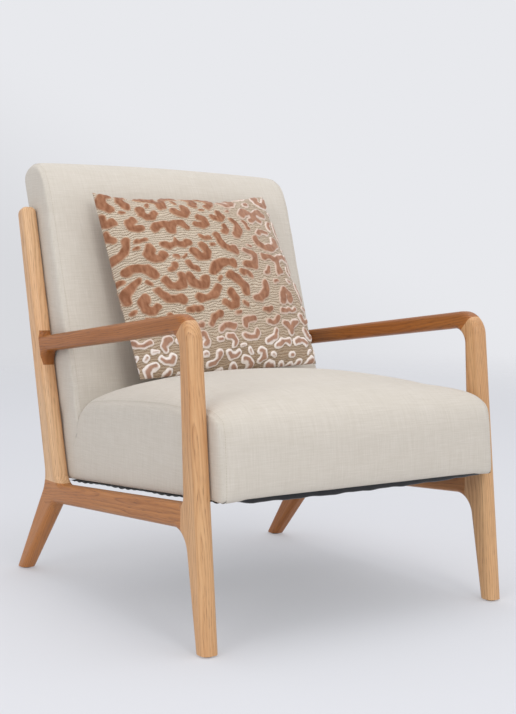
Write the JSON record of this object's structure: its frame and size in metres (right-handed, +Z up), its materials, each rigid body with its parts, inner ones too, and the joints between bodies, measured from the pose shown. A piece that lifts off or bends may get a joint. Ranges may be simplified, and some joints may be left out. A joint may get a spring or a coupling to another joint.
{
  "type": "armchair",
  "caption": "Wooden armchair with open side frames, a sloping rail and splayed rear legs, one upholstered seat and back unit, and a loose scatter cushion.",
  "frame": {"origin": "on the floor under the middle of the whole chair's box", "axes": "+Z up, -Y the way the chair faces, +X the sitter's left"},
  "size_m": [0.671, 0.7881, 0.85],
  "materials": {
    "show_wood": "satin clear lacquer on a golden brown hardwood",
    "dowel_wood": "plain beech",
    "inner_timber": "planed softwood, unfinished",
    "linen": "light greige linen weave",
    "foam": "upholstery foam with a wadding wrap",
    "webbing": "woven elastic webbing",
    "lining": "thin black non-woven dust cover",
    "steel": "bright zinc",
    "insert_metal": "plain turned",
    "glide_plastic": "dark moulded nylon",
    "cut_velvet": "cut velvet spots on a ribbed ground, plain brown edge and back",
    "cushion_fill": "fibre filling in an inner bag"
  },
  "bodies": {
    "chair": {"front_leg_left": "show_wood", "front_leg_right": "show_wood", "arm_left": "show_wood", "arm_right": "show_wood", "back_post_left": "show_wood", "back_post_right": "show_wood", "side_rail_left": "show_wood", "side_rail_right": "show_wood", "rear_leg_left": "show_wood", "rear_leg_right": "show_wood", "frame_dowels_left": "dowel_wood", "frame_dowels_right": "dowel_wood", "seat_side_rail_left": "inner_timber", "seat_side_rail_right": "inner_timber", "seat_front_rail": "inner_timber", "seat_rear_rail": "inner_timber", "corner_blocks": "inner_timber", "back_bottom_rail": "inner_timber", "back_middle_rail": "inner_timber", "back_top_rail": "inner_timber", "back_stile_left": "inner_timber", "back_stile_right": "inner_timber", "seat_cover": "linen", "back_cover": "linen", "seat_foam": "foam", "back_foam": "foam", "seat_webbing_crosswise": "webbing", "seat_webbing_lengthwise": "webbing", "back_webbing": "webbing", "seat_lining": "lining", "frame_bolts": "steel", "bolt_washers": "steel", "bolt_spacers": "steel", "corner_block_screws": "steel", "stile_screws": "steel", "lining_staples": "steel", "glide_nails": "steel", "threaded_inserts": "insert_metal", "foot_glides": "glide_plastic"},
    "scatter_cushion": {"cushion_cover": "cut_velvet", "cushion_pad": "cushion_fill"}
  },
  "joints": [
    {"name": "cushion_lift", "type": "slide", "parent": "chair", "child": "scatter_cushion", "axis": [0, 0, 1], "range_m": [0, 0.5]}
  ]
}
